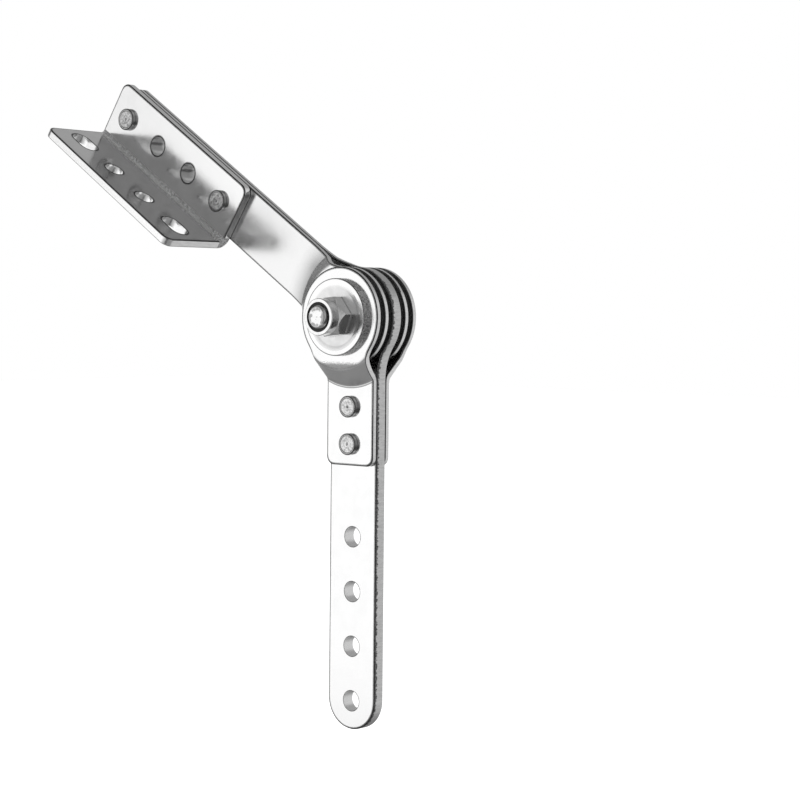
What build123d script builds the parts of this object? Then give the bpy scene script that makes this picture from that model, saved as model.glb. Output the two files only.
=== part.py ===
from build123d import *
import os
from math import cos, radians, sin, tan

os.makedirs("parts", exist_ok=True)

# Friction hinge for a sofa headrest, in millimetres, +Z up.
# The origin is the middle of the row of four fixing holes in the lower bar, halfway through its thickness.
# The pivot runs along Y, and the nut's side faces -Y. The arm is shown tilted towards -X.

# Fixing holes, shared by the bar and the bracket
hole_pitch = 19.0
hole_diameter = 7.0
slot_length = 11.6
bar_hole_count = 4

# Lower bar
bar_width = 21.0
bar_thickness = 4.7
pivot_to_first_hole = 75.7
last_hole_to_end = 9.9
head_radius = 17.2
neck_radius = 20.0
plate_edge = 0.5

# Stamped plates of the cheeks and the arm
sheet = 2.0
inner_disc_thickness = 1.9
outer_disc_thickness = 2.1
bend_inside = 0.8
cheek_joggle_angle = 48.0
cheek_joggle_start = 18.2
cheek_foot_radius = 1.5
cheek_tab_end = 51.0
tab_corner = 3.0
cheek_rivet_near = 30.7
cheek_rivet_pitch = 12.9

# Arm and bracket
arm_tilt = 56.4
arm_end = 138.0
arm_corner = 3.0
arm_joggle_angle = 38.0
arm_joggle_end = 24.3
arm_flare_angle = 11.0
arm_flare_middle = 28.8
arm_flare_radius = 38.0
bracket_sheet = 3.0
bracket_start = 65.1
bracket_length = 76.4
bracket_corner = 3.3
bracket_bend_inside = 1.0
flange_gap = 11.6
flange_reach = 32.5
flange_hole_reach = 21.0
bracket_first_hole = 75.0
rivet_line_offset = 0.6

# Rivets
rivet_shank = 5.0
cheek_rivet_head = 7.5
bracket_rivet_head = 8.0
rivet_head_height = 1.5
rivet_edge = 0.3
rivet_foot_edge = 0.15
rivet_rim = 0.7
rivet_dimple_depth = 0.12
rivet_dimple_run = 0.25
rivet_mark_radius = 0.55
rivet_mark_depth = 0.25

# Pivot bolt, lock nut and the stack they clamp
bolt_diameter = 8.0
bore_clearance = 0.05
washer_radius = 13.2
washer_thickness = 2.25
washer_dish_radius = 11.5
washer_dish_depth = 0.2
washer_dish_run = 1.6
washer_edge = 0.2
disc_radius = 14.0
nut_flats = 13.0
nut_height = 8.6
nut_hex_height = 5.2
nut_shoulder_run = 2.4
nut_edge = 0.4
nut_turn = 8.4
collar_diameter = 12.6
collar_rounding = 0.25
insert_diameter = 10.2
insert_height = 2.0
insert_sink = 0.4
bolt_stick_out = 0.9
bolt_chamfer = 0.6
bolt_head_height = 5.3
bolt_head_chamfer = 0.55

# Values that follow
bar_half = bar_thickness / 2
pivot_height = pivot_to_first_hole + hole_pitch * (bar_hole_count - 1) / 2
arm_inner = bar_half + inner_disc_thickness
arm_outer = arm_inner + sheet
cheek_inner = arm_outer + outer_disc_thickness
cheek_outer = cheek_inner + sheet
tab_outer = bar_half + sheet
washer_outer = cheek_outer + washer_thickness
nut_base = washer_outer - washer_dish_depth
nut_front = nut_base + nut_height
bolt_front = nut_front + bolt_stick_out
bar_end = pivot_to_first_hole + hole_pitch * (bar_hole_count - 1) + last_hole_to_end
bore_diameter = bolt_diameter + 2 * bore_clearance
nut_corner_radius = nut_flats / 2 / cos(radians(30))
cheek_rivet_middle = cheek_rivet_near + cheek_rivet_pitch / 2
bracket_middle = bracket_first_hole + 1.5 * hole_pitch
bracket_front = sheet + bracket_sheet
flange_face = flange_gap + bracket_sheet
cheek_joggle_end = cheek_joggle_start + (cheek_outer - tab_outer) / tan(radians(cheek_joggle_angle))
arm_flare = sheet + (arm_flare_middle - arm_joggle_end) * tan(radians(arm_flare_angle))
arm_joggle_start = arm_joggle_end - (arm_outer - arm_flare) / tan(radians(arm_joggle_angle))

# Planes through the pivot, both facing the nut's side; +Y of the arm's plane runs along the arm
tilt = radians(arm_tilt)
lower_plane = Plane(origin=(0, 0, pivot_height), x_dir=(1, 0, 0), z_dir=(0, -1, 0))
arm_plane = Plane(origin=(0, 0, pivot_height), x_dir=(cos(tilt), 0, sin(tilt)), z_dir=(0, -1, 0))
radial_plane = Plane(origin=(0, 0, pivot_height), x_dir=(1, 0, 0), z_dir=(0, 0, -1))
hole_plane = Plane(origin=(0, 0, 0), x_dir=(1, 0, 0), z_dir=(0, -1, 0))
pivot_axis = Axis((0, 0, pivot_height), (0, -1, 0))
mid_plane = Plane.XZ

# Plane of the bracket's section at its pivot end: +X towards the flange, +Y towards the nut's side
bracket_foot = arm_plane.origin + arm_plane.y_dir * bracket_start
section_plane = Plane(origin=bracket_foot, x_dir=arm_plane.x_dir * -1, z_dir=arm_plane.y_dir)
# Plane of the flange's inner face: +X along the arm, +Y towards the nut's side
flange_origin = arm_plane.origin - arm_plane.x_dir * flange_gap
flange_plane = Plane(origin=flange_origin, x_dir=arm_plane.y_dir, z_dir=arm_plane.x_dir)


def head_with_strip(strip_end, corner, direction):
    """Outline of a round head whose neck flows into a strip with rounded corners."""
    Circle(head_radius)
    with Locations((0, direction * strip_end / 2)):
        Rectangle(bar_width, strip_end)
    sides = [v for v in vertices() if abs(abs(v.X) - bar_width / 2) < 0.01]
    fillet([v for v in sides if abs(v.Y) < head_radius], neck_radius)
    fillet([v for v in vertices() if abs(v.Y - direction * strip_end) < 0.01], corner)


def rim_edges():
    """Edges round the outline of the open part, on both faces of the sheet."""
    walls = [f for f in faces() if abs(f.normal_at().Y) < 0.01]
    return [e for f in walls for e in f.edges() if abs((e @ 1 - e @ 0).Y) < 0.9 * sheet]


def edge_loops(level):
    """Edges of the open part that lie flat at this distance from the middle plane."""
    return [e for e in edges() if abs(e.bounding_box().min.Y - level) < 0.01 and e.bounding_box().size.Y < 0.01]


def rivet_head(diameter, foot, side):
    """Rivet head on this level: rounded top edge, slack foot, dimpled top with a centre mark."""
    top = foot + side * rivet_head_height
    rim = diameter / 2 - rivet_rim
    with Locations((0, 0, (foot + top) / 2)):
        Cylinder(diameter / 2, rivet_head_height)
    rims = [e for e in edges().filter_by(GeomType.CIRCLE) if abs(e.radius - diameter / 2) < 0.01]
    fillet([e for e in rims if abs(-(e @ 0).Y - top) < 0.01], rivet_edge)
    rims = [e for e in edges().filter_by(GeomType.CIRCLE) if abs(e.radius - diameter / 2) < 0.01]
    fillet([e for e in rims if abs(-(e @ 0).Y - foot) < 0.01], rivet_foot_edge)
    with Locations(Location((0, 0, top), (0, 90 - 90 * side, 0))):
        with Locations((0, 0, -rivet_dimple_depth / 2)):
            Cone(rim - rivet_dimple_run, rim, rivet_dimple_depth, mode=Mode.SUBTRACT)
        with Locations((0, 0, -rivet_dimple_depth - rivet_mark_depth / 2)):
            Cone(0, rivet_mark_radius, rivet_mark_depth, mode=Mode.SUBTRACT)


# Lower bar: round head, smooth neck, four fixing holes and a round end
with BuildPart() as lower_bar:
    with BuildSketch(lower_plane.offset(-bar_half)):
        head_with_strip(bar_end, bar_width / 2 - 0.01, -1)
    extrude(amount=bar_thickness)
    fillet(edge_loops(-bar_half) + edge_loops(bar_half), plate_edge)
    with Locations(lower_plane.offset(bar_half)):
        Hole(bore_diameter / 2)
    with Locations(lower_plane.offset(bar_half)):
        with Locations((0, -cheek_rivet_middle)):
            with GridLocations(cheek_rivet_pitch, cheek_rivet_pitch, 1, 2):
                Hole(rivet_shank / 2)
    with Locations(hole_plane.offset(bar_half)):
        with GridLocations(hole_pitch, hole_pitch, 1, bar_hole_count):
            Hole(hole_diameter / 2)
lower_bar.part.label = "lower_bar"
export_step(lower_bar.part, "parts/lower_bar.step")
print("lower_bar", lower_bar.part.volume, lower_bar.part.bounding_box())

# Front cheek: pressed plate that carries one side of the pivot and is riveted to the bar
with BuildPart() as front_cheek:
    with BuildSketch(radial_plane):
        with BuildLine():
            Polyline(
                (0, cheek_outer),
                (cheek_joggle_start, cheek_outer),
                (cheek_joggle_end, tab_outer),
                (cheek_tab_end + tab_corner, tab_outer),
            )
            fillet(vertices().sort_by(Axis.X)[1], bend_inside + sheet)
            fillet(vertices().sort_by(Axis.X)[-2], cheek_foot_radius)
            offset(amount=sheet, side=Side.RIGHT)
        make_face()
    revolve(axis=pivot_axis)
    with BuildSketch(lower_plane):
        head_with_strip(cheek_tab_end, tab_corner, -1)
    extrude(amount=cheek_outer, mode=Mode.INTERSECT)
    fillet(rim_edges(), plate_edge)
    with Locations(lower_plane.offset(cheek_outer)):
        Hole(bore_diameter / 2)
    with Locations(lower_plane.offset(cheek_outer)):
        with Locations((0, -cheek_rivet_middle)):
            with GridLocations(cheek_rivet_pitch, cheek_rivet_pitch, 1, 2):
                Hole(rivet_shank / 2)
front_cheek.part.label = "front_cheek"
export_step(front_cheek.part, "parts/front_cheek.step")
print("front_cheek", front_cheek.part.volume, front_cheek.part.bounding_box())

# Rear cheek: the same pressing, turned over
with BuildPart() as rear_cheek:
    mirror(front_cheek.part, about=mid_plane)
rear_cheek.part.label = "rear_cheek"
export_step(rear_cheek.part, "parts/rear_cheek.step")
print("rear_cheek", rear_cheek.part.volume, rear_cheek.part.bounding_box())

# Front arm plate: round head outside the bar's head, pressed inwards and flared flat to the middle plane
with BuildPart() as front_arm_plate:
    with BuildSketch(radial_plane):
        with BuildLine():
            Polyline(
                (0, arm_outer),
                (arm_joggle_start, arm_outer),
                (arm_joggle_end, arm_flare),
                (arm_flare_middle, sheet),
                (arm_end + arm_corner, sheet),
            )
            fillet(vertices().sort_by(Axis.X)[1], bend_inside + sheet)
            fillet(vertices().sort_by(Axis.X)[-3], bend_inside)
            fillet(vertices().sort_by(Axis.X)[-2], arm_flare_radius)
            offset(amount=sheet, side=Side.RIGHT)
        make_face()
    revolve(axis=pivot_axis)
    with BuildSketch(arm_plane):
        head_with_strip(arm_end, arm_corner, 1)
    extrude(amount=arm_outer, mode=Mode.INTERSECT)
    fillet(rim_edges(), plate_edge)
    with Locations(arm_plane.offset(arm_outer)):
        Hole(bore_diameter / 2)
    with Locations(arm_plane.offset(arm_outer)):
        with Locations((-rivet_line_offset, bracket_middle)):
            with GridLocations(3 * hole_pitch, 3 * hole_pitch, 1, 2):
                Hole(rivet_shank / 2)
front_arm_plate.part.label = "front_arm_plate"
export_step(front_arm_plate.part, "parts/front_arm_plate.step")
print("front_arm_plate", front_arm_plate.part.volume, front_arm_plate.part.bounding_box())

# Rear arm plate: the same pressing, turned over
with BuildPart() as rear_arm_plate:
    mirror(front_arm_plate.part, about=mid_plane)
rear_arm_plate.part.label = "rear_arm_plate"
export_step(rear_arm_plate.part, "parts/rear_arm_plate.step")
print("rear_arm_plate", rear_arm_plate.part.volume, rear_arm_plate.part.bounding_box())

# Angle bracket: one leg riveted to the arm, the flange standing out along the arm's lower edge
with BuildPart() as angle_bracket:
    with BuildSketch(section_plane):
        with BuildLine():
            Polyline(
                (-bar_width / 2, sheet),
                (flange_face, sheet),
                (flange_face, flange_reach),
                (flange_gap, flange_reach),
                (flange_gap, bracket_front),
                (-bar_width / 2, bracket_front),
                close=True,
            )
        make_face()
        bend_outer = vertices().sort_by_distance((flange_face, sheet))[0]
        fillet(bend_outer, bracket_bend_inside + bracket_sheet)
        bend_inner = vertices().sort_by_distance((flange_gap, bracket_front))[0]
        fillet(bend_inner, bracket_bend_inside)
    extrude(amount=bracket_length)
    ends = [e for e in edges() if abs(e.length - bracket_sheet) < 0.01]
    leg_corners = [e for e in ends if abs((e @ 0).Y - (e @ 1).Y) > 1 and abs((e @ 0).Y) < bracket_front + 1]
    flange_corners = [e for e in ends if abs((e @ 0).Y + flange_reach) < 0.01 and abs((e @ 1).Y + flange_reach) < 0.01]
    fillet(leg_corners + flange_corners, bracket_corner)
    skin = faces().sort_by(SortBy.AREA)[-4:]
    fillet(skin.edges().filter_by(lambda e: e.length > 2), plate_edge)
    with Locations(arm_plane.offset(bracket_front)):
        with Locations((-rivet_line_offset, bracket_middle)):
            with GridLocations(3 * hole_pitch, 3 * hole_pitch, 1, 2):
                Hole(rivet_shank / 2, depth=2 * bracket_sheet)
            with GridLocations(hole_pitch, hole_pitch, 1, 2):
                Hole(hole_diameter / 2, depth=2 * bracket_sheet)
    with Locations(flange_plane):
        with Locations((bracket_middle, flange_hole_reach)):
            with GridLocations(hole_pitch, hole_pitch, 2, 1):
                Hole(hole_diameter / 2, depth=2 * bracket_sheet)
    with BuildSketch(flange_plane):
        with Locations((bracket_middle, flange_hole_reach)):
            with GridLocations(3 * hole_pitch, hole_pitch, 2, 1):
                SlotOverall(slot_length, hole_diameter)
    extrude(amount=-2 * bracket_sheet, mode=Mode.SUBTRACT)
angle_bracket.part.label = "angle_bracket"
export_step(angle_bracket.part, "parts/angle_bracket.step")
print("angle_bracket", angle_bracket.part.volume, angle_bracket.part.bounding_box())

# Rivets of the cheeks: one shank through both tabs and the bar, a flat head on each side
with BuildPart() as cheek_rivet_upper:
    with Locations(lower_plane):
        with Locations((0, -cheek_rivet_near)):
            Cylinder(rivet_shank / 2, 2 * tab_outer)
            rivet_head(cheek_rivet_head, tab_outer, 1)
            rivet_head(cheek_rivet_head, -tab_outer, -1)
cheek_rivet_upper.part.label = "cheek_rivet_upper"
export_step(cheek_rivet_upper.part, "parts/cheek_rivet_upper.step")

with BuildPart() as cheek_rivet_lower:
    with Locations(lower_plane):
        with Locations((0, -cheek_rivet_near - cheek_rivet_pitch)):
            Cylinder(rivet_shank / 2, 2 * tab_outer)
            rivet_head(cheek_rivet_head, tab_outer, 1)
            rivet_head(cheek_rivet_head, -tab_outer, -1)
cheek_rivet_lower.part.label = "cheek_rivet_lower"
export_step(cheek_rivet_lower.part, "parts/cheek_rivet_lower.step")

# Rivets of the bracket: through the leg and both arm plates
bracket_stack = bracket_front + sheet
bracket_stack_middle = (bracket_front - sheet) / 2
with BuildPart() as bracket_rivet_near:
    with Locations(arm_plane):
        with Locations((-rivet_line_offset, bracket_first_hole)):
            with Locations((0, 0, bracket_stack_middle)):
                Cylinder(rivet_shank / 2, bracket_stack)
            rivet_head(bracket_rivet_head, bracket_front, 1)
            rivet_head(bracket_rivet_head, -sheet, -1)
bracket_rivet_near.part.label = "bracket_rivet_near"
export_step(bracket_rivet_near.part, "parts/bracket_rivet_near.step")

with BuildPart() as bracket_rivet_far:
    with Locations(arm_plane):
        with Locations((-rivet_line_offset, bracket_first_hole + 3 * hole_pitch)):
            with Locations((0, 0, bracket_stack_middle)):
                Cylinder(rivet_shank / 2, bracket_stack)
            rivet_head(bracket_rivet_head, bracket_front, 1)
            rivet_head(bracket_rivet_head, -sheet, -1)
bracket_rivet_far.part.label = "bracket_rivet_far"
export_step(bracket_rivet_far.part, "parts/bracket_rivet_far.step")

# Friction discs: one in each gap between the cheeks, the arm plates and the bar's head
with BuildPart() as friction_disc_front_outer:
    with BuildSketch(lower_plane.offset(arm_outer)):
        Circle(disc_radius)
        Circle(bore_diameter / 2, mode=Mode.SUBTRACT)
    extrude(amount=outer_disc_thickness)
friction_disc_front_outer.part.label = "friction_disc_front_outer"
export_step(friction_disc_front_outer.part, "parts/friction_disc_front_outer.step")

with BuildPart() as friction_disc_front_inner:
    with BuildSketch(lower_plane.offset(bar_half)):
        Circle(disc_radius)
        Circle(bore_diameter / 2, mode=Mode.SUBTRACT)
    extrude(amount=inner_disc_thickness)
friction_disc_front_inner.part.label = "friction_disc_front_inner"
export_step(friction_disc_front_inner.part, "parts/friction_disc_front_inner.step")

with BuildPart() as friction_disc_rear_inner:
    mirror(friction_disc_front_inner.part, about=mid_plane)
friction_disc_rear_inner.part.label = "friction_disc_rear_inner"
export_step(friction_disc_rear_inner.part, "parts/friction_disc_rear_inner.step")

with BuildPart() as friction_disc_rear_outer:
    mirror(friction_disc_front_outer.part, about=mid_plane)
friction_disc_rear_outer.part.label = "friction_disc_rear_outer"
export_step(friction_disc_rear_outer.part, "parts/friction_disc_rear_outer.step")

# Front pressure washer: thick disc with a shallow dish under the nut
with BuildPart() as front_washer:
    with BuildSketch(radial_plane):
        with BuildLine():
            Polyline(
                (bore_diameter / 2, cheek_outer),
                (washer_radius, cheek_outer),
                (washer_radius, washer_outer),
                (washer_dish_radius, washer_outer),
                (washer_dish_radius - washer_dish_run, nut_base),
                (bore_diameter / 2, nut_base),
                close=True,
            )
        make_face()
        fillet(vertices().sort_by_distance((washer_radius, washer_outer))[0], washer_edge)
    revolve(axis=pivot_axis)
front_washer.part.label = "front_washer"
export_step(front_washer.part, "parts/front_washer.step")

# Rear pressure washer, under the bolt's head
with BuildPart() as rear_washer:
    mirror(front_washer.part, about=mid_plane)
rear_washer.part.label = "rear_washer"
export_step(rear_washer.part, "parts/rear_washer.step")

# Pivot bolt: hexagon head at the rear, shank through the whole stack, chamfered end in the lock nut
with BuildPart() as pivot_bolt:
    with BuildSketch(lower_plane.offset(-nut_base)):
        Circle(nut_corner_radius)
    extrude(amount=-bolt_head_height)
    chamfer(edge_loops(nut_base + bolt_head_height), bolt_head_chamfer, 2 * bolt_head_chamfer)
    with BuildSketch(lower_plane.offset(-nut_base)):
        RegularPolygon(nut_corner_radius, 6, rotation=nut_turn)
    extrude(amount=-bolt_head_height, mode=Mode.INTERSECT)
    with BuildSketch(lower_plane.offset(-nut_base)):
        Circle(bolt_diameter / 2)
    extrude(amount=nut_base + bolt_front)
    chamfer(edge_loops(-bolt_front), bolt_chamfer)
pivot_bolt.part.label = "pivot_bolt"
export_step(pivot_bolt.part, "parts/pivot_bolt.step")
print("pivot_bolt", pivot_bolt.part.volume, pivot_bolt.part.bounding_box())

# Lock nut: rounded hexagon whose shoulder slopes up to a round collar with a seat for the insert
insert_seat = nut_front - insert_sink - insert_height
with BuildPart() as lock_nut:
    with BuildSketch(radial_plane):
        with BuildLine():
            Polyline(
                (bolt_diameter / 2, nut_base),
                (nut_corner_radius, nut_base),
                (nut_corner_radius, nut_base + nut_hex_height - nut_shoulder_run),
                (collar_diameter / 2, nut_base + nut_hex_height),
                (collar_diameter / 2, nut_front),
                (insert_diameter / 2, nut_front),
                (insert_diameter / 2, insert_seat),
                (bolt_diameter / 2, insert_seat),
                close=True,
            )
        make_face()
        fillet(vertices().sort_by_distance((collar_diameter / 2, nut_front))[0], collar_rounding)
    revolve(axis=pivot_axis)
    with BuildSketch(lower_plane.offset(nut_base)):
        RegularPolygon(nut_corner_radius, 6, rotation=nut_turn)
        fillet(vertices(), nut_edge)
    extrude(amount=nut_height, mode=Mode.INTERSECT)
    base_rim = [e for e in edge_loops(-nut_base) if e.length < nut_flats]
    fillet(base_rim, nut_edge)
lock_nut.part.label = "lock_nut"
export_step(lock_nut.part, "parts/lock_nut.step")
print("lock_nut", lock_nut.part.volume, lock_nut.part.bounding_box())

# Locking insert: ring pressed into the nut's collar, round the bolt's thread
with BuildPart() as nut_insert:
    with BuildSketch(lower_plane.offset(nut_front - insert_sink)):
        Circle(insert_diameter / 2)
        Circle(bolt_diameter / 2, mode=Mode.SUBTRACT)
    extrude(amount=-insert_height)
nut_insert.part.label = "nut_insert"
export_step(nut_insert.part, "parts/nut_insert.step")
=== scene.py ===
import math

import bmesh
import bpy
from mathutils import Matrix, Vector


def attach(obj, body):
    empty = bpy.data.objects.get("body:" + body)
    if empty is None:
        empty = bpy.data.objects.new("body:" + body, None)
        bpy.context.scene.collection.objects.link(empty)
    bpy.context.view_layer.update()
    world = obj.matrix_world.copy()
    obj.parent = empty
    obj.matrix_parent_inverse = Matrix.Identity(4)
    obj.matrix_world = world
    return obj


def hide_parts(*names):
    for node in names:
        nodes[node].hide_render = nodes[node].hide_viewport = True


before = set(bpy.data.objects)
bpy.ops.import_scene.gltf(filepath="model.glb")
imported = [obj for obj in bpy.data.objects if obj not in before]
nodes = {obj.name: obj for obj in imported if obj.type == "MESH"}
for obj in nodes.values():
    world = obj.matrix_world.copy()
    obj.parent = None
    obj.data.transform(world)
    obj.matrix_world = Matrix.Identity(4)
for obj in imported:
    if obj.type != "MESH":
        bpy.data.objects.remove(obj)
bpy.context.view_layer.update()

# Places and sizes on the hinge, in millimetres, angles and directions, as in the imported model
PIVOT = 104.2
PIVOT_POINT = (0.0, 0.0, PIVOT)
ARM_TILT = math.radians(56.4)
ALONG_ARM = (-math.sin(ARM_TILT), 0.0, math.cos(ARM_TILT))
TO_FLANGE = (-math.cos(ARM_TILT), 0.0, -math.sin(ARM_TILT))
ACROSS_BAR = (1.0, 0.0, 0.0)
SHEET_AXIS = (0.0, 1.0, 0.0)
BOLT_RADIUS = 4.0
BOLT_FRONT = -21.9
NUT_TURN_DEGREES = 8.4
COLLAR_RADIUS = 6.3
HEAD_RADIUS = 17.2
BAR_FRONT = -2.35
HOLE_ROW_END = 33.0
PRESSED_END = 34.0
BEND_DEPTH = 10.3
BEND_LEVEL = 6.4
SLOPE_BORDER = 15.7
SLOPE_FOOT = 24.2
CHEEK_NECK = 12.0
CHEEK_HEAD = 3.75
UPPER_RIVET = 73.5
LOWER_RIVET = 60.6
BRACKET_HEAD = 4.0
NEAR_RIVET = 75.0
FAR_RIVET = 132.0
ARM_RIVET_ROW = 0.6
DISH_RADIUS = 10.2
THREAD_PITCH = 1.25
THREAD_DEPTH = 0.6 * THREAD_PITCH
CREST_SHARE = 0.125
ROOT_SHARE = 0.25
TIP_LENGTH = 2.5
TIP_RADIUS = BOLT_RADIUS - 0.6

# Tone of the sheets' flat faces, and how squarely a wall and a rounded edge still face along the sheet's
# axis; the rounded edges get painted shade, a dark outline
FACE_TONE = 0.95
WALL_FADE = (0.35, 0.55)
EDGE_FADE = (0.93, 0.99)


# Node writing

class Paint:
    """A node material with a Principled shader and short calls for its nodes."""

    def __init__(self, name, roughness=0.2, metallic=1.0):
        self.material = bpy.data.materials.new(name)
        self.material.use_nodes = True
        self.tree = self.material.node_tree
        self.shader = self.tree.nodes["Principled BSDF"]
        self.shader.inputs["Metallic"].default_value = metallic
        self.shader.inputs["Roughness"].default_value = roughness
        place = self.tree.nodes.new("ShaderNodeTexCoord")
        self.normal = place.outputs["Normal"]
        self.mm = self.vector("SCALE", place.outputs["Object"], scale=1000.0)

    def put(self, socket, value):
        if isinstance(value, bpy.types.NodeSocket):
            self.tree.links.new(value, socket)
        else:
            socket.default_value = value

    def vector(self, operation, a, b=None, scale=None):
        node = self.tree.nodes.new("ShaderNodeVectorMath")
        node.operation = operation
        self.put(node.inputs[0], a)
        if b is not None:
            self.put(node.inputs[1], b)
        if scale is not None:
            self.put(node.inputs["Scale"], scale)
        return node.outputs["Value" if operation in ("DOT_PRODUCT", "LENGTH") else "Vector"]

    def math(self, operation, a, b=0.0):
        node = self.tree.nodes.new("ShaderNodeMath")
        node.operation = operation
        self.put(node.inputs[0], a)
        self.put(node.inputs[1], b)
        return node.outputs[0]

    def dot(self, a, b):
        return self.vector("DOT_PRODUCT", a, b)

    def facing(self, direction):
        """How squarely the surface faces along this direction, either way."""
        return self.math("ABSOLUTE", self.dot(self.normal, direction))

    def step(self, value, low, high, out_low=0.0, out_high=1.0):
        node = self.tree.nodes.new("ShaderNodeMapRange")
        node.interpolation_type = "SMOOTHSTEP"
        self.put(node.inputs["Value"], value)
        node.inputs["From Min"].default_value = low
        node.inputs["From Max"].default_value = high
        node.inputs["To Min"].default_value = out_low
        node.inputs["To Max"].default_value = out_high
        return node.outputs["Result"]

    def fade(self, value, low, high):
        """One up to the low value, nothing from the high value on."""
        return self.step(value, low, high, 1.0, 0.0)

    def spread(self, noise, low, high):
        """A noise spread over the values from low to high."""
        return self.step(noise, 0.3, 0.7, low, high)

    def swing(self, noise, amount):
        """A noise as a small swing about zero."""
        return self.math("MULTIPLY", self.math("SUBTRACT", noise, 0.5), amount)

    def mix(self, factor, a, b):
        node = self.tree.nodes.new("ShaderNodeMix")
        self.put(node.inputs["Factor"], factor)
        self.put(node.inputs["A"], a)
        self.put(node.inputs["B"], b)
        return node.outputs["Result"]

    def noise(self, scale, detail, stretch=(1.0, 1.0, 1.0), at=None, rough=0.5):
        grid = self.vector("MULTIPLY", self.mm if at is None else at, stretch)
        node = self.tree.nodes.new("ShaderNodeTexNoise")
        self.put(node.inputs["Vector"], grid)
        node.inputs["Scale"].default_value = scale
        node.inputs["Detail"].default_value = detail
        node.inputs["Roughness"].default_value = rough
        return node.outputs["Fac"]

    def without(self, mask):
        """One where the mask is nothing."""
        return self.math("SUBTRACT", 1.0, mask)

    def axis(self, which, of=None):
        """One coordinate of the place, in millimetres, or of another vector."""
        node = self.tree.nodes.new("ShaderNodeSeparateXYZ")
        self.put(node.inputs[0], self.mm if of is None else of)
        return node.outputs[which]

    def reach(self, centre):
        """Distance from an axis along Y through this centre."""
        flat = self.vector("MULTIPLY", self.vector("SUBTRACT", self.mm, centre), (1.0, 0.0, 1.0))
        return self.vector("LENGTH", flat)

    def ring(self, value, middle, half):
        """One on a hairline at this value, fading out on both sides of it."""
        off = self.math("ABSOLUTE", self.math("SUBTRACT", value, middle))
        return self.fade(off, 0.2 * half, half)

    def outline(self, distance_mm, low=0.70, high=0.80):
        """Mask for painted edge shade: one close to a convex edge of the piece, nothing on its open faces."""
        node = self.tree.nodes.new("ShaderNodeAmbientOcclusion")
        node.inside = True
        node.only_local = True
        node.samples = 24
        node.inputs["Distance"].default_value = distance_mm / 1000.0
        return self.fade(node.outputs["AO"], low, high)

    def both(self, *factors):
        product = factors[0]
        for factor in factors[1:]:
            product = self.math("MULTIPLY", product, factor)
        return product

    def bump(self, height, distance_mm, strength):
        node = self.tree.nodes.new("ShaderNodeBump")
        node.inputs["Distance"].default_value = distance_mm / 1000.0
        node.inputs["Strength"].default_value = strength
        self.put(node.inputs["Height"], height)
        self.put(self.shader.inputs["Normal"], node.outputs["Normal"])

    def colour(self, value):
        self.put(self.shader.inputs["Base Color"], value)

    def roughness(self, value):
        self.put(self.shader.inputs["Roughness"], value)

    def metallic(self, value):
        self.put(self.shader.inputs["Metallic"], value)


def strip_edges(paint, facing, sideways, reach):
    """Walls, rounded edges and pressed stretch of a strip, where the slope of the pressing is no edge; the
    edge mask carries painted shade.
    """
    wallness = paint.fade(facing, *WALL_FADE)
    pressed = paint.both(paint.step(reach, HEAD_RADIUS, HEAD_RADIUS + 0.2),
                         paint.fade(reach, PRESSED_END, PRESSED_END + 1.0))
    round_edge = paint.both(paint.fade(facing, *EDGE_FADE), paint.without(pressed))
    side_edge = paint.both(paint.step(sideways, 0.44, 0.58), pressed)
    edge = paint.both(paint.math("MAXIMUM", round_edge, side_edge), paint.without(wallness))
    return wallness, edge, pressed


def bent_edges(paint, facing, sideways):
    """Walls, rounded edges and bend of the bracket, where the bend from leg to flange is no edge; the edge
    mask carries painted shade.
    """
    depth = paint.dot(paint.vector("SUBTRACT", paint.mm, PIVOT_POINT), TO_FLANGE)
    level = paint.math("MULTIPLY", paint.axis("Y"), -1.0)
    leg = paint.fade(depth, BEND_DEPTH - 0.4, BEND_DEPTH)
    stands = paint.both(paint.step(depth, BEND_DEPTH, BEND_DEPTH + 0.4),
                        paint.step(level, BEND_LEVEL - 0.2, BEND_LEVEL + 0.2))
    bend = paint.without(paint.math("MAXIMUM", leg, stands))
    leg_wall = paint.both(leg, paint.fade(facing, *WALL_FADE))
    flange_wall = paint.both(stands, paint.fade(sideways, *WALL_FADE))
    wallness = paint.math("MAXIMUM", leg_wall, flange_wall)
    leg_edge = paint.both(leg, paint.fade(facing, *EDGE_FADE))
    flange_edge = paint.both(stands, paint.fade(sideways, *EDGE_FADE))
    edge = paint.both(paint.math("MAXIMUM", leg_edge, flange_edge), paint.without(wallness))
    return wallness, edge, bend


def torn_zone(paint, shifted):
    """The bar's torn walls, whose ragged border lies behind the front edge, and its smooth holes."""
    depth = paint.math("SUBTRACT", paint.axis("Y"), BAR_FRONT)
    ragged = paint.noise(1.1, 4.0, stretch=(1.0, 0.4, 1.0), at=shifted, rough=0.7)
    border = paint.math("SUBTRACT", depth, paint.step(ragged, 0.32, 0.68, 0.5, 1.6))
    off_middle = paint.math("ABSOLUTE", paint.axis("X"))
    off_row = paint.math("ABSOLUTE", paint.axis("Z"))
    in_holes = paint.both(paint.fade(off_middle, 5.2, 5.6),
                          paint.fade(off_row, HOLE_ROW_END, HOLE_ROW_END + 0.6))
    torn = paint.both(paint.fade(border, -0.12, 0.12), paint.without(in_holes))
    return torn, in_holes


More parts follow.
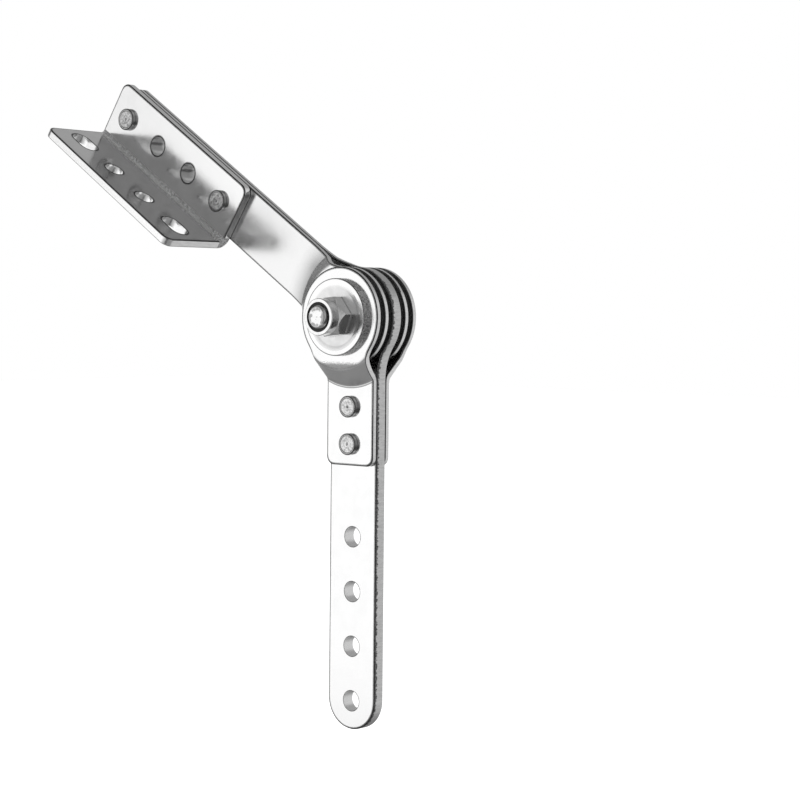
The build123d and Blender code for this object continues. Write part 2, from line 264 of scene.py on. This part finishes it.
def painted_joggle_shade(paint, shifted, facing, reach, face_tone):
    """A cheek's face painted with fuzzy grey shade where its slope begins and a dark hairline of painted
    shade at the slope's foot.
    """
    down = paint.math("SUBTRACT", PIVOT, paint.axis("Z"))
    fuzz = paint.noise(2.8, 4.0, at=shifted, rough=0.75)
    drawn = paint.math("ADD", down, paint.step(fuzz, 0.25, 0.75, -0.9, 0.9))
    # Painted shade: fuzzy grey on the flat face where the slope begins
    slope_shade = paint.both(paint.step(drawn, SLOPE_BORDER - 0.5, SLOPE_BORDER + 0.5),
                       paint.step(facing, 0.89, 0.965),
                       paint.fade(down, SLOPE_BORDER + 4.0, SLOPE_BORDER + 4.5))
    bordered = paint.mix(slope_shade, face_tone, paint.spread(fuzz, 0.2, 0.36))
    below = paint.step(down, CHEEK_NECK, CHEEK_NECK + 0.5)
    # Painted shade: a dark hairline at the slope's foot
    return paint.mix(paint.both(paint.ring(reach, SLOPE_FOOT, 0.32), below, 0.75), bordered, 0.12)


def sheet_metal(name, seed, across, wall=0.9, rough=0.15, flange=False, bar=False, cheek=False):
    """Plated steel sheet: bright faces with faint blotches, rounded edges and outlines painted dark as shade,
    sheared walls with grain.
    """
    paint = Paint(name)
    shifted = paint.vector("ADD", paint.mm, (seed, seed * 1.7, seed * 0.6))
    facing = paint.facing(SHEET_AXIS)
    sideways = paint.facing(across)
    reach = paint.reach(PIVOT_POINT)
    if flange:
        wallness, edge, bend = bent_edges(paint, facing, sideways)
    else:
        wallness, edge, pressed = strip_edges(paint, facing, sideways, reach)
    blotch = paint.noise(0.16, 3.0, at=shifted)
    grain = paint.noise(2.6, 3.0, at=shifted, rough=0.65)
    streak = paint.noise(1.9, 3.0, stretch=(1.0, 0.18, 1.0), at=shifted, rough=0.6)
    face_tone = paint.math("ADD", paint.spread(blotch, FACE_TONE - 0.035, FACE_TONE + 0.02),
                           paint.swing(grain, 0.05))
    face_rough = paint.spread(blotch, rough - 0.03, rough + 0.03)
    wall_tone = paint.spread(streak, wall - 0.06, wall + 0.06)
    wall_rough = paint.spread(streak, 0.2, 0.12) if flange else paint.spread(streak, 0.34, 0.22)
    wall_relief = paint.math("MULTIPLY", streak, 0.5)
    outline = paint.outline(1.5, 0.72, 0.83)
    if bar:
        torn, in_holes = torn_zone(paint, shifted)
        crumbs = paint.noise(2.4, 4.0, at=shifted, rough=0.7)
        wall_tone = paint.mix(in_holes, wall_tone, 0.95)
        wall_tone = paint.mix(torn, wall_tone, paint.step(crumbs, 0.35, 0.75, 0.05, 0.45))
        wall_rough = paint.mix(torn, wall_rough, 0.5)
        wall_relief = paint.mix(torn, wall_relief, crumbs)
        outline = paint.mix(in_holes, outline, paint.outline(0.6))
    if cheek:
        # Painted shade on the cheek's face at its joggle
        face_tone = painted_joggle_shade(paint, shifted, facing, reach, face_tone)
        sloping = paint.both(pressed, paint.fade(facing, 0.86, 0.95))
        face_rough = paint.mix(sloping, face_rough, 0.32)
    # Painted shade: rounded edges and convex outlines get a dark tone, standing in for the dark lines of
    # shade along them
    edge = paint.math("MAXIMUM", edge, paint.both(outline, paint.without(wallness)))
    tone = paint.mix(edge, paint.mix(wallness, face_tone, wall_tone), paint.spread(grain, 0.04, 0.15))
    roughness = paint.mix(edge, paint.mix(wallness, face_rough, wall_rough), 0.3)
    face_relief = paint.math("MULTIPLY", grain, 0.06)
    if flange:
        # Orange peel along the bend
        speckle = paint.noise(2.2, 4.0, at=shifted, rough=0.75)
        face_relief = paint.mix(bend, face_relief, paint.math("MULTIPLY", speckle, 0.9))
        tone = paint.mix(bend, tone, paint.step(speckle, 0.46, 0.58, 0.45, 1.0))
        roughness = paint.mix(bend, roughness, 0.5)
        paint.metallic(paint.mix(bend, 1.0, 0.1))
    paint.colour(tone)
    paint.roughness(roughness)
    paint.bump(paint.mix(wallness, face_relief, wall_relief), 0.12, 0.35)
    return paint


def nut_metal(name, tone, roughness, seed):
    """Cold-formed nut: bright wavy facets with whitish corners between them, a painted highlight."""
    paint = Paint(name)
    shifted = paint.vector("ADD", paint.mm, (seed, seed * 0.4, seed * 1.3))
    fine = paint.noise(3.2, 3.0, at=shifted, rough=0.6)
    stain = paint.noise(0.5, 3.0, at=shifted)
    wave = paint.noise(0.55, 2.0, stretch=(1.0, 0.5, 1.0), at=shifted)
    facing = paint.facing(SHEET_AXIS)
    turn = paint.math("ARCTAN2", paint.axis("Z", paint.normal), paint.axis("X", paint.normal))
    turned = paint.math("SUBTRACT", paint.math("DEGREES", turn), NUT_TURN_DEGREES)
    from_corner = paint.math("PINGPONG", turned, 30.0)
    reach = paint.reach(PIVOT_POINT)
    side = paint.both(paint.fade(facing, 0.2, 0.3),
                      paint.step(reach, COLLAR_RADIUS + 0.3, COLLAR_RADIUS + 0.45))
    # Painted highlight: white lines on the rounded hex corners
    corner_highlight = paint.both(side, paint.fade(from_corner, 22.0, 27.0))
    tone_field = paint.math("ADD", paint.spread(stain, tone - 0.04, tone + 0.02),
                            paint.swing(fine, 0.05))
    paint.colour(paint.mix(corner_highlight, tone_field, 1.0))
    paint.metallic(paint.mix(corner_highlight, 1.0, 0.3))
    paint.roughness(paint.spread(stain, roughness + 0.04, roughness - 0.03))
    paint.bump(paint.math("ADD", wave, paint.math("MULTIPLY", fine, 0.04)), 0.35, 0.5)
    return paint


def washer_metal(name, seed):
    """Pressed washer: bright rim land, a darker and rougher dish whose darker tone is painted shade round the
    nut, a dark painted-shade outline at its edges, and an outer wall with coarse sheared grain.
    """
    paint = Paint(name)
    shifted = paint.vector("ADD", paint.mm, (seed, seed * 0.7, seed * 0.3))
    facing = paint.facing(SHEET_AXIS)
    reach = paint.reach(PIVOT_POINT)
    rim = paint.fade(facing, 0.10, 0.25)
    edge = paint.both(paint.fade(facing, 0.80, 0.95), paint.without(rim))
    dish = paint.fade(reach, DISH_RADIUS, DISH_RADIUS + 1.2)
    stain = paint.noise(0.3, 3.0, at=shifted)
    coarse = paint.noise(2.2, 5.0, stretch=(1.0, 0.8, 1.0), at=shifted, rough=0.8)
    fine = paint.noise(5.0, 2.0, at=shifted)
    land_tone = paint.spread(stain, 0.94, 0.98)
    # Painted shade: the dish round the nut is darker than the land
    shaded_dish_tone = paint.spread(stain, 0.82, 0.88)
    face_tone = paint.mix(dish, land_tone, shaded_dish_tone)
    tone = paint.mix(rim, face_tone, paint.step(coarse, 0.44, 0.58, 0.3, 1.0))
    paint.metallic(paint.mix(rim, 1.0, 0.8))
    # Painted shade: a dark outline along the washer's edges
    edge = paint.math("MAXIMUM", edge, paint.both(paint.outline(0.8), paint.without(rim)))
    paint.colour(paint.mix(edge, tone, 0.12))
    face_rough = paint.mix(dish, 0.16, paint.spread(stain, 0.32, 0.27))
    paint.roughness(paint.mix(rim, face_rough, 0.38))
    paint.bump(paint.mix(rim, paint.math("MULTIPLY", fine, 0.05), coarse), 0.25, 0.5)
    return paint


def rivet_metal(name, centre, head_radius, inside, seed):
    """Riveted head: a smooth bright rim with a painted dark outline of shade at its edge, round a dull,
    dented middle, marked with a ring and a dot.
    """
    paint = Paint(name)
    shifted = paint.vector("ADD", paint.mm, (seed, seed * 0.4, seed * 1.3))
    facing = paint.facing(SHEET_AXIS)
    reach = paint.reach(centre)
    side = paint.fade(facing, 0.3, 0.6)
    edge = paint.both(paint.fade(facing, 0.70, 0.92), paint.step(facing, 0.10, 0.35),
                      paint.step(reach, head_radius - 0.45, head_radius - 0.35))
    middle = paint.fade(reach, head_radius - 1.15, head_radius - 0.8)
    dents = paint.noise(1.1, 4.0, at=shifted, rough=0.7)
    fine = paint.noise(3.4, 3.0, at=shifted, rough=0.6)
    marks = paint.math("MAXIMUM", paint.ring(reach, 1.35, 0.3), paint.fade(reach, 0.35, 0.5))
    middle_tone = paint.step(dents, 0.38, 0.6, inside - 0.4, inside + 0.12)
    middle_tone = paint.mix(paint.math("MULTIPLY", marks, 0.35), middle_tone, 0.4 * inside)
    tone = paint.mix(middle, paint.spread(fine, 0.78, 0.9), middle_tone)
    tone = paint.mix(side, tone, paint.spread(fine, 0.6, 0.8))
    rim = paint.both(paint.outline(1.2), paint.step(facing, 0.10, 0.35))
    # Painted shade: a dark outline along the head's edge and rim
    paint.colour(paint.mix(paint.math("MAXIMUM", edge, rim), tone, 0.12))
    paint.roughness(paint.mix(middle, 0.2, 0.34))
    paint.bump(paint.mix(middle, paint.math("MULTIPLY", fine, 0.1), dents), 0.16, 0.6)
    return paint


def bolt_metal(name, seed):
    """Bolt steel: dull head and shank, and a cut end with a bright blotchy middle."""
    paint = Paint(name)
    shifted = paint.vector("ADD", paint.mm, (seed, seed, seed))
    reach = paint.reach(PIVOT_POINT)
    end = paint.both(paint.step(paint.axis("Y"), BOLT_FRONT + 0.15, BOLT_FRONT + 0.1),
                     paint.fade(reach, TIP_RADIUS - 0.2, TIP_RADIUS - 0.1))
    dents = paint.noise(0.7, 3.0, at=shifted, rough=0.6)
    fine = paint.noise(3.0, 3.0, at=shifted, rough=0.6)
    cut = paint.math("ADD", dents, paint.step(reach, 1.2, 3.0, 0.16, -0.05))
    paint.colour(paint.mix(end, paint.spread(fine, 0.66, 0.8), paint.step(cut, 0.42, 0.56, 0.42, 0.99)))
    paint.roughness(paint.mix(end, 0.2, 0.24))
    paint.bump(paint.mix(end, paint.math("MULTIPLY", fine, 0.1), dents), 0.12, 0.5)
    return paint


def dull_plastic(name, tone, roughness, seed):
    """Moulded black plastic or friction lining, with a fine grain."""
    paint = Paint(name, roughness, 0.0)
    shifted = paint.vector("ADD", paint.mm, (seed, 0.0, seed))
    fine = paint.noise(4.0, 4.0, at=shifted, rough=0.65)
    paint.colour(paint.spread(fine, 0.7 * tone, 1.3 * tone))
    paint.roughness(paint.spread(fine, roughness - 0.08, roughness + 0.08))
    paint.bump(fine, 0.05, 0.5)
    return paint


def dress(node_name, paint):
    """Puts a material on every slot of a carried-over node."""
    piece = nodes[node_name]
    if not piece.material_slots:
        piece.data.materials.append(paint.material)
    for place in piece.material_slots:
        place.material = paint.material


dress("lower_bar", sheet_metal("bar_plating", 3.0, ACROSS_BAR, wall=0.7, bar=True))
dress("front_cheek", sheet_metal("front_cheek_plating", 17.0, ACROSS_BAR, cheek=True))
dress("rear_cheek", sheet_metal("rear_cheek_plating", 29.0, ACROSS_BAR, cheek=True))
dress("front_arm_plate", sheet_metal("front_arm_plating", 41.0, TO_FLANGE, rough=0.22))
dress("rear_arm_plate", sheet_metal("rear_arm_plating", 53.0, TO_FLANGE, rough=0.22))
dress("angle_bracket", sheet_metal("bracket_plating", 67.0, TO_FLANGE, wall=0.98, flange=True))
dress("lock_nut", nut_metal("nut_plating", 0.92, 0.1, 7.0))
dress("front_washer", washer_metal("front_washer_plating", 11.0))
dress("rear_washer", washer_metal("rear_washer_plating", 13.0))
dress("nut_insert", dull_plastic("insert_nylon", 0.012, 0.4, 2.0))


def on_arm(along):
    """A point of the arm's row of rivets, this far along it from the pivot."""
    return tuple(Vector(PIVOT_POINT) + along * Vector(ALONG_ARM) + ARM_RIVET_ROW * Vector(TO_FLANGE))


# Each rivet's node, the middle of its head, the head's radius, the tone of its dented middle and its seed
RIVETS = (
    ("cheek_rivet_upper", (0.0, 0.0, UPPER_RIVET), CHEEK_HEAD, 0.92, 21.0),
    ("cheek_rivet_lower", (0.0, 0.0, LOWER_RIVET), CHEEK_HEAD, 0.90, 33.0),
    ("bracket_rivet_near", on_arm(NEAR_RIVET), BRACKET_HEAD, 0.72, 45.0),
    ("bracket_rivet_far", on_arm(FAR_RIVET), BRACKET_HEAD, 0.76, 57.0),
)
for rivet, middle, head, inside, seed in RIVETS:
    dress(rivet, rivet_metal(rivet + "_steel", middle, head, inside, seed))
for number, disc in enumerate(("front_outer", "front_inner", "rear_inner", "rear_outer")):
    dress("friction_disc_" + disc, dull_plastic("lining_" + disc, 0.03, 0.6, 5.0 * number))


def threaded_bolt():
    """The CAD bolt with its plain tip cut off and a real thread in its place."""
    tip_start = BOLT_FRONT + TIP_LENGTH
    source = nodes["pivot_bolt"]
    work = bmesh.new()
    work.from_mesh(source.data)
    everything = work.verts[:] + work.edges[:] + work.faces[:]
    bmesh.ops.bisect_plane(work, geom=everything, plane_co=(0.0, tip_start / 1000.0, 0.0),
                           plane_no=(0.0, -1.0, 0.0), clear_outer=True)
    columns, rows = 144, 56
    rings = []
    for row in range(rows + 1):
        y = tip_start + (BOLT_FRONT - tip_start) * row / rows
        ring = []
        for column in range(columns):
            angle = 2.0 * math.pi * column / columns
            phase = (y / THREAD_PITCH - column / columns) % 1.0
            # Nothing on the crest, one on the root, and a straight flank between them
            flank = (1.0 - CREST_SHARE - 2.0 * abs(phase - 0.5)) / (1.0 - CREST_SHARE - ROOT_SHARE)
            groove = min(1.0, max(0.0, flank))
            radius = min(BOLT_RADIUS - THREAD_DEPTH * groove, TIP_RADIUS + (y - BOLT_FRONT))
            ring.append(work.verts.new((radius * math.cos(angle) / 1000.0, y / 1000.0,
                                        (PIVOT + radius * math.sin(angle)) / 1000.0)))
        rings.append(ring)
    for lower, upper in zip(rings, rings[1:]):
        for column in range(columns):
            after = (column + 1) % columns
            face = work.faces.new((lower[column], lower[after], upper[after], upper[column]))
            face.smooth = True
    work.faces.new(rings[-1])
    bmesh.ops.recalc_face_normals(work, faces=work.faces[:])
    mesh = bpy.data.meshes.new("threaded_bolt")
    work.to_mesh(mesh)
    work.free()
    piece = bpy.data.objects.new("threaded_bolt", mesh)
    bpy.context.scene.collection.objects.link(piece)
    mesh.materials.clear()
    mesh.materials.append(bolt_metal("bolt_steel_finish", 5.0).material)
    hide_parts("pivot_bolt")
    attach(piece, "lower_bracket")


threaded_bolt()


# Floor, studio and camera

FLOOR_LEVEL = -0.26

# What the metal mirrors, as direction, width (cosine where it fades out and where it is full) and brightness
STUDIO_TONES = (
    ((0.0, -1.0, 0.0), 0.80, 0.97, 0.6),
    ((0.65, 0.76, 0.0), 0.3, 0.9, 0.62),
    ((-0.2, 0.77, 0.6), 0.72, 0.93, 0.34),
    ((-0.90, 0.42, 0.12), 0.84, 0.96, 0.6),
    ((0.0, -0.37, 0.92), 0.80, 0.95, 0.06),
    ((0.22, -0.76, 0.6), 0.90, 0.97, 0.38),
    ((-0.40, -0.70, 0.60), 0.90, 0.975, 0.19),
    ((0.2, -0.77, -0.6), 0.93, 0.98, 0.6),
    ((-0.99, -0.12, 0.05), 0.93, 0.985, 0.14),
    ((0.65, -0.76, 0.1), 0.80, 0.95, 0.22),
    ((0.43, -0.77, -0.47), 0.90, 0.97, 0.05),
    ((-0.63, -0.76, -0.14), 0.84, 0.95, 0.86),
    ((-0.62, -0.77, -0.11), 0.965, 0.985, 1.08),
)
STUDIO_DEPTHS = 0.25


def studio_tone(tree, direction):
    """Brightness of the studio seen in this direction: bright panels, grey depths and dark openings."""
    light = STUDIO_DEPTHS
    for towards, low, high, over in STUDIO_TONES:
        aim = tree.nodes.new("ShaderNodeVectorMath")
        aim.operation = "DOT_PRODUCT"
        tree.links.new(direction, aim.inputs[0])
        aim.inputs[1].default_value = Vector(towards).normalized()
        near = tree.nodes.new("ShaderNodeMapRange")
        near.interpolation_type = "SMOOTHSTEP"
        near.inputs["From Min"].default_value = low
        near.inputs["From Max"].default_value = high
        tree.links.new(aim.outputs["Value"], near.inputs["Value"])
        blend = tree.nodes.new("ShaderNodeMix")
        tree.links.new(near.outputs["Result"], blend.inputs["Factor"])
        if isinstance(light, float):
            blend.inputs["A"].default_value = light
        else:
            tree.links.new(light, blend.inputs["A"])
        blend.inputs["B"].default_value = over
        light = blend.outputs["Result"]
    return light


def floor_material():
    """Pale matt floor, white far from the hinge's shadow, in which the metal mirrors the studio's tones."""
    paint = Paint("pale_floor", 0.8, 0.0)
    cloud = paint.noise(0.004, 2.0)
    paint.colour(paint.spread(cloud, 0.84, 0.88))
    paint.shader.inputs["Specular IOR Level"].default_value = 0.1
    tree = paint.tree
    rays = tree.nodes.new("ShaderNodeLightPath")
    away = paint.step(paint.vector("LENGTH", paint.mm), 450.0, 1100.0)
    glow = tree.nodes.new("ShaderNodeEmission")
    white = paint.mix(away, 0.45, 1.0)
    paint.put(glow.inputs["Strength"], paint.math("MULTIPLY", rays.outputs["Is Camera Ray"], white))
    both = tree.nodes.new("ShaderNodeAddShader")
    tree.links.new(paint.shader.outputs[0], both.inputs[0])
    tree.links.new(glow.outputs[0], both.inputs[1])
    drop = PIVOT - 1000.0 * FLOOR_LEVEL
    from_hinge = paint.vector("NORMALIZE", paint.vector("SUBTRACT", paint.mm, (0.0, 0.0, drop)))
    mirrored = tree.nodes.new("ShaderNodeEmission")
    paint.put(mirrored.inputs["Strength"], studio_tone(tree, from_hinge))
    either = tree.nodes.new("ShaderNodeMixShader")
    tree.links.new(rays.outputs["Is Glossy Ray"], either.inputs[0])
    tree.links.new(both.outputs[0], either.inputs[1])
    tree.links.new(mirrored.outputs[0], either.inputs[2])
    tree.links.new(either.outputs[0], tree.nodes["Material Output"].inputs["Surface"])
    return paint.material


bpy.ops.mesh.primitive_plane_add(size=14.0, location=(0.0, 0.0, FLOOR_LEVEL))
floor = bpy.context.object
floor.name = "studio_floor"
floor.data.materials.append(floor_material())


def studio_world():
    """White for the camera; for the metal the studio's tones."""
    world = bpy.data.worlds.new("studio")
    bpy.context.scene.world = world
    world.use_nodes = True
    tree = world.node_tree
    background = tree.nodes["Background"]
    place = tree.nodes.new("ShaderNodeTexCoord")
    rays = tree.nodes.new("ShaderNodeLightPath")
    seen = tree.nodes.new("ShaderNodeMix")
    tree.links.new(rays.outputs["Is Camera Ray"], seen.inputs["Factor"])
    tree.links.new(studio_tone(tree, place.outputs["Generated"]), seen.inputs["A"])
    seen.inputs["B"].default_value = 1.0
    tree.links.new(seen.outputs["Result"], background.inputs["Strength"])
    background.inputs["Color"].default_value = (1.0, 1.0, 1.0, 1.0)


def soft_lamp(name, place, aim, size, power):
    data = bpy.data.lights.new(name, "AREA")
    data.shape = "SQUARE"
    data.size = size
    data.energy = power
    lamp = bpy.data.objects.new(name, data)
    bpy.context.scene.collection.objects.link(lamp)
    lamp.location = place
    lamp.rotation_euler = (Vector(aim) - Vector(place)).to_track_quat("-Z", "Y").to_euler()
    lamp.visible_glossy = False


studio_world()
soft_lamp("top_box", (-0.1, 0.1, 1.7), (0.0, 0.0, 0.08), 1.3, 9.0)

# Camera, fitted to the photograph: it looks 39.6 degrees round from +Y, a little downwards
CAMERA_TURN = math.radians(39.6114)
CAMERA_DROP = math.radians(2.5979)
CAMERA_ROLL = math.radians(0.5499)
PIVOT_DEPTH = 726.39
PIXELS_PER_MM = 2.90615
PIVOT_PIXEL = (358.826, 317.092)
FRAME_PIXELS = 800.0
SENSOR = 36.0


def add_camera():
    right = Vector((math.cos(CAMERA_TURN), math.sin(CAMERA_TURN), 0.0))
    back = Vector((math.sin(CAMERA_TURN) * math.cos(CAMERA_DROP),
                   -math.cos(CAMERA_TURN) * math.cos(CAMERA_DROP), math.sin(CAMERA_DROP)))
    up = back.cross(right)
    across = (PIVOT_PIXEL[0] - FRAME_PIXELS / 2) / PIXELS_PER_MM
    above = -(PIVOT_PIXEL[1] - FRAME_PIXELS / 2) / PIXELS_PER_MM
    cosine, sine = math.cos(CAMERA_ROLL), math.sin(CAMERA_ROLL)
    level_across = across * cosine - above * sine
    level_above = across * sine + above * cosine
    rolled_right = right * cosine + up * sine
    rolled_up = up * cosine - right * sine
    place = Vector(PIVOT_POINT) - right * level_across - up * level_above + back * PIVOT_DEPTH
    data = bpy.data.cameras.new("camera")
    data.sensor_width = SENSOR
    data.lens = PIVOT_DEPTH * PIXELS_PER_MM * SENSOR / FRAME_PIXELS
    data.clip_start = 0.01
    data.clip_end = 50.0
    camera = bpy.data.objects.new("camera", data)
    bpy.context.scene.collection.objects.link(camera)
    turn = Matrix((rolled_right, rolled_up, back)).transposed()
    camera.matrix_world = Matrix.Translation(place / 1000.0) @ turn.to_4x4()
    bpy.context.scene.camera = camera


add_camera()
bpy.context.scene.view_settings.view_transform = "Standard"
